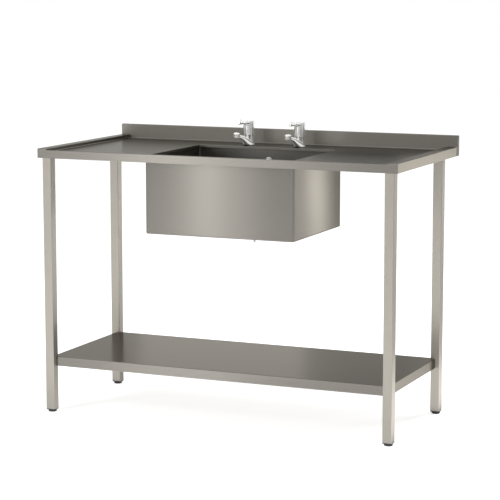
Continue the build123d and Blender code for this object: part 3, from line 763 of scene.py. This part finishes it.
# Soft boxes round the unit: name, place, what it faces, width, height and watts.
lamps = {
    "frontLeft": {"place": (-1.9, -3.6, 1.9), "facing": (0, 0, 0.6), "size": (1.4, 2.0), "watts": 90},
    "backRight": {"place": (2.4, 3.4, 1.9), "facing": (0, 0, 0.6), "size": (1.6, 2.0), "watts": 70},
    "above": {"place": (0.2, -0.6, 3.4), "facing": (0, 0, 0.4), "size": (2.4, 1.6), "watts": 70},
}


def makeLamps():
    for name, lamp in lamps.items():
        data = bpy.data.lights.new(name, "AREA")
        data.shape = "RECTANGLE"
        data.size, data.size_y = lamp["size"]
        data.energy = lamp["watts"]
        box = bpy.data.objects.new(name, data)
        box.location = lamp["place"]
        away = Vector(lamp["facing"]) - Vector(lamp["place"])
        box.rotation_euler = away.to_track_quat("-Z", "Y").to_euler()
        box.visible_glossy = False
        bpy.context.scene.collection.objects.link(box)


# Cards and strip boxes that only the gloss sees, as they stand round bright metal. Those that
# are upOnly lie level and can't be seen from below.
cards = {
    "frontBox": {"low": (-2.6, -4.02, 0.0), "high": (-1.1, -4.02, 2.0), "level": 1.6},
    "frontStrip": {"low": (-2.15, -4.0, 0.0), "high": (-1.65, -4.0, 1.7), "level": 3.1},
    "frontShade": {"low": (-1.1, -4.02, 0.0), "high": (0.5, -4.02, 1.2), "level": 0.72},
    "backBox": {"low": (-3.0, 4.02, 0.8), "high": (-0.9, 4.02, 1.4), "level": 1.5},
    "backStrip": {"low": (-2.4, 4.0, 0.8), "high": (-1.4, 4.0, 1.2), "level": 3.4},
    "backFlag": {"low": (-1.4, 4.0, 1.6), "high": (-0.9, 4.0, 4.0), "level": 0.1},
    "backLow": {"low": (1.4, 4.02, 0.0), "high": (3.2, 4.02, 0.5), "level": 2.2},
    "backLowStrip": {"low": (1.6, 4.0, 0.0), "high": (2.2, 4.0, 0.5), "level": 5.8},
    "rightFloor": {"low": (0.65, -0.4, 0.002), "high": (1.2, 0.9, 0.002), "level": 2.7},
    "frontFloor": {"low": (-0.9, -0.6, 0.002), "high": (0.8, 0.12, 0.002), "level": 1.1},
    "frontFloorStrip": {"low": (-0.6, -1.4, 0.003), "high": (-0.15, -0.6, 0.003), "level": 2.0},
    "overBowl": {
        "low": (-0.24, -0.23, 0.84), "high": (0.24, -0.03, 0.84), "level": 0.6, "upOnly": True,
    },
    "besideLeftTap": {
        "low": (-0.077, 0.12, 0.839), "high": (0.04, 0.25, 0.839), "level": 1.0, "upOnly": True,
    },
    "besideRightTap": {
        "low": (0.103, 0.12, 0.839), "high": (0.19, 0.25, 0.839), "level": 1.0, "upOnly": True,
    },
}


def makeCards():
    for name, card in cards.items():
        low = Vector(card["low"])
        high = Vector(card["high"])
        size = high - low
        mesh = bpy.data.meshes.new(name + "Card")
        sheet = bmesh.new()
        bmesh.ops.create_grid(sheet, x_segments=1, y_segments=1, size=0.5)
        if size.y < size.z:
            bmesh.ops.rotate(sheet, verts=sheet.verts, matrix=Matrix.Rotation(math.pi / 2, 3, "X"))
        thick = Vector((max(size.x, mm), max(size.y, mm), max(size.z, mm)))
        bmesh.ops.scale(sheet, verts=sheet.verts, vec=thick)
        bmesh.ops.translate(sheet, verts=sheet.verts, vec=(low + high) / 2)
        sheet.to_mesh(mesh)
        sheet.free()
        made = bpy.data.objects.new(name + "Card", mesh)
        bpy.context.scene.collection.objects.link(made)
        for ray in ("camera", "diffuse", "transmission", "volume_scatter", "shadow"):
            setattr(made, "visible_" + ray, False)
        material = bpy.data.materials.new(name + "Card")
        material.use_nodes = True
        tree = material.node_tree
        tree.nodes.clear()
        output = tree.nodes.new("ShaderNodeOutputMaterial")
        glow = emission(tree, (1, 1, 1), card["level"])
        if card.get("upOnly"):
            side = tree.nodes.new("ShaderNodeMixShader")
            below = tree.nodes.new("ShaderNodeNewGeometry").outputs["Backfacing"]
            tree.links.new(below, side.inputs[0])
            tree.links.new(glow, side.inputs[1])
            tree.links.new(tree.nodes.new("ShaderNodeBsdfTransparent").outputs[0], side.inputs[2])
            glow = side.outputs[0]
        tree.links.new(glow, output.inputs["Surface"])
        mesh.materials.append(material)


makeWorld()
makeFloor()
makeCards()
makeLamps()
bpy.context.scene.view_settings.view_transform = "Standard"
print("studio made")
